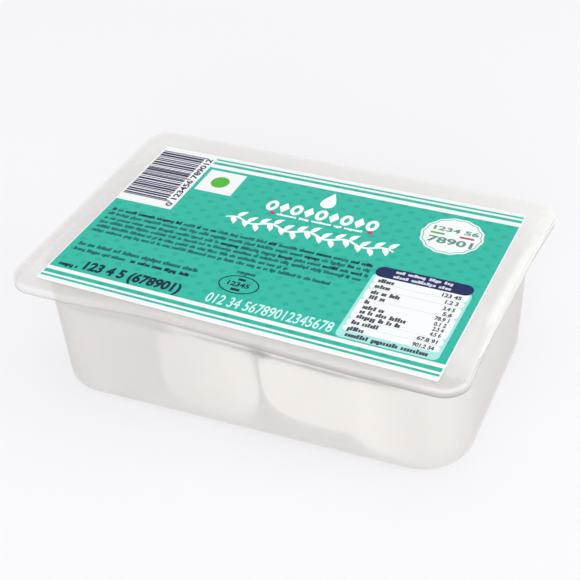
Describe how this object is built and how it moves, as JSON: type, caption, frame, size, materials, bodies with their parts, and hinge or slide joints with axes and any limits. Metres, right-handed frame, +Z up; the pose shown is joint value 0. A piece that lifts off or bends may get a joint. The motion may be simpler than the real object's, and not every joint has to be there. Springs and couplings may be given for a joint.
{
  "type": "sealed tray pack of burrata",
  "caption": "Shut translucent plastic tray with a flange and a printed film lid, holding burrata cheeses in liquid.",
  "frame": {"origin": "middle of the tray's outline, on the surface the tray stands on", "axes": "+Z up through the film, +X along the long side towards the end that the picture shows at the right, -Y towards the front wall that the picture shows"},
  "size_m": [0.166, 0.1096, 0.0504],
  "materials": {
    "tray": "cloudy translucent moulded sheet, softly glossy",
    "lid_film": "clear film with a teal printed field, white stripes along the long sides and a clear border",
    "burrata": "wet, soft, off-white cheese skin"
  },
  "bodies": {
    "root": {"tray": "tray", "lid_film": "lid_film", "burrata_left": "burrata", "burrata_right": "burrata"}
  },
  "joints": []
}
